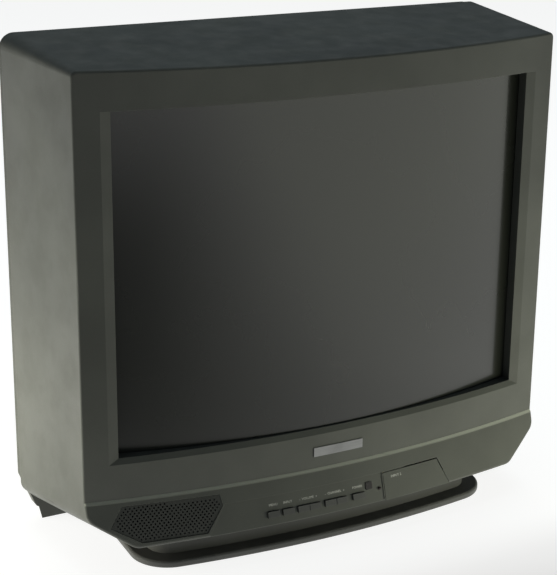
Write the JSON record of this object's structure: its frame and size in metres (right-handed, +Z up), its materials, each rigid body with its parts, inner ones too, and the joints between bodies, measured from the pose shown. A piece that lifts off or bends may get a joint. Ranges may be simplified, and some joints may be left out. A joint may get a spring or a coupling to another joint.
{
  "type": "tube television set",
  "caption": "Table-top colour television with a picture tube behind a bowed face, a tilted lower panel with keys, speaker grille and socket door, a vented rear cover and a plinth.",
  "frame": {"origin": "on the table under the middle of the set: z = 0 is the bottom of the rubber pads, x and y are the middle of the width and depth", "axes": "+X is to the right for someone watching, +Y points to the back, away from them, and +Z is up"},
  "size_m": [0.507, 0.479, 0.472],
  "materials": {
    "cabinet": "fine-grained grey moulding",
    "plinth": "dark grey moulding",
    "rubber": "soft black",
    "grille": "perforated dark grey plate",
    "badge": "plain silvery bar",
    "window": "dark infrared window",
    "lamp": "small red lamp, unlit",
    "jack": "coloured socket bodies",
    "bright_metal": "tinned or plated",
    "black_plastic": "black moulding",
    "key": "smooth grey key caps",
    "screen_glass": "tinted glass, polished front",
    "funnel": "glass with a dull black coating outside",
    "clear_glass": "clear glass tube",
    "steel": "zinc-plated steel",
    "dark_steel": "blackened steel",
    "lead": "insulated wire",
    "copper": "enamelled copper wire",
    "ferrite": "ferrite or potting resin",
    "board": "brown circuit board",
    "component": "small moulded electronic parts",
    "paper": "speaker cone paper",
    "pale_plastic": "pale screwdriver knobs",
    "aluminium": "extruded heat sinks"
  },
  "bodies": {
    "cabinet": {"anode_cap": "rubber", "anode_lead": "lead", "antenna_socket": "bright_metal", "aperture_grille": "dark_steel", "badge": "badge", "base_plinth": "plinth", "board_posts": "black_plastic", "capacitors": "component", "chassis_screws": "steel", "control_boards": "board", "convergence_rings": "black_plastic", "cover_screws": "steel", "degauss_coil": "lead", "electron_gun": "steel", "flyback_transformer": "ferrite", "front_cabinet": "cabinet", "front_jacks": "jack", "grille_frame": "dark_steel", "ground_braid": "bright_metal", "heat_sinks": "aluminium", "inner_shield": "dark_steel", "jack_plate": "plinth", "key_switches": "component", "main_board": "board", "mains_inlet": "black_plastic", "neck_board": "board", "neck_board_parts": "component", "power_transformer": "ferrite", "rear_cover": "cabinet", "rear_jacks": "jack", "ring_sleeve": "black_plastic", "rubber_pads": "rubber", "semiconductors": "component", "sensor_window": "window", "shrink_band": "steel", "speaker_cone": "paper", "speaker_frame": "steel", "speaker_grille": "grille", "speaker_magnet": "ferrite", "speaker_screws": "steel", "standby_lamp": "lamp", "tube_base": "black_plastic", "tube_faceplate": "screen_glass", "tube_funnel": "funnel", "tube_neck": "clear_glass", "tube_screws": "steel", "tube_socket": "black_plastic", "tuner": "bright_metal", "yoke_coils": "copper", "yoke_core": "ferrite", "yoke_former": "black_plastic"},
    "menu_key": {"menu_key": "key"},
    "input_key": {"input_key": "key"},
    "power_key": {"power_key": "key"},
    "volume_rocker": {"volume_rocker": "key"},
    "channel_rocker": {"channel_rocker": "key"},
    "jack_door": {"jack_door": "cabinet"},
    "focus_knob": {"focus_knob": "pale_plastic"},
    "screen_knob": {"screen_knob": "pale_plastic"}
  },
  "joints": [
    {"name": "menu_press", "type": "slide", "parent": "cabinet", "child": "menu_key", "axis": [0.063, 0.9545, -0.2916], "range_m": [0, 0.0008], "stiffness_N_per_m": 400},
    {"name": "input_press", "type": "slide", "parent": "cabinet", "child": "input_key", "axis": [0.05, 0.9552, -0.2916], "range_m": [0, 0.0008], "stiffness_N_per_m": 400},
    {"name": "power_press", "type": "slide", "parent": "cabinet", "child": "power_key", "axis": [-0.0152, 0.9564, -0.2916], "range_m": [0, 0.0008], "stiffness_N_per_m": 400},
    {"name": "volume_rock", "type": "hinge", "parent": "cabinet", "child": "volume_rocker", "pos_m": [-0.03552, -0.23264, 0.04392], "axis": [0.0095, 0.2915, 0.9565], "range_deg": [-2.5, 2.5], "stiffness_Nm_per_rad": 0.05},
    {"name": "channel_rock", "type": "hinge", "parent": "cabinet", "child": "channel_rocker", "pos_m": [-0.00735, -0.2332, 0.04392], "axis": [0.002, 0.2916, 0.9565], "range_deg": [-2.5, 2.5], "stiffness_Nm_per_rad": 0.05},
    {"name": "jack_door_hinge", "type": "hinge", "parent": "cabinet", "child": "jack_door", "pos_m": [0.08505, -0.23337, 0.03765], "axis": [0.9969, 0.0781, 0], "range_deg": [0, 100]},
    {"name": "screen_turn", "type": "hinge", "parent": "cabinet", "child": "screen_knob", "pos_m": [0.092, 0.08506, 0.092], "axis": [0, 1, 0], "range_deg": [-135, 135]},
    {"name": "focus_turn", "type": "hinge", "parent": "cabinet", "child": "focus_knob", "pos_m": [0.092, 0.08506, 0.112], "axis": [0, 1, 0], "range_deg": [-135, 135]}
  ]
}
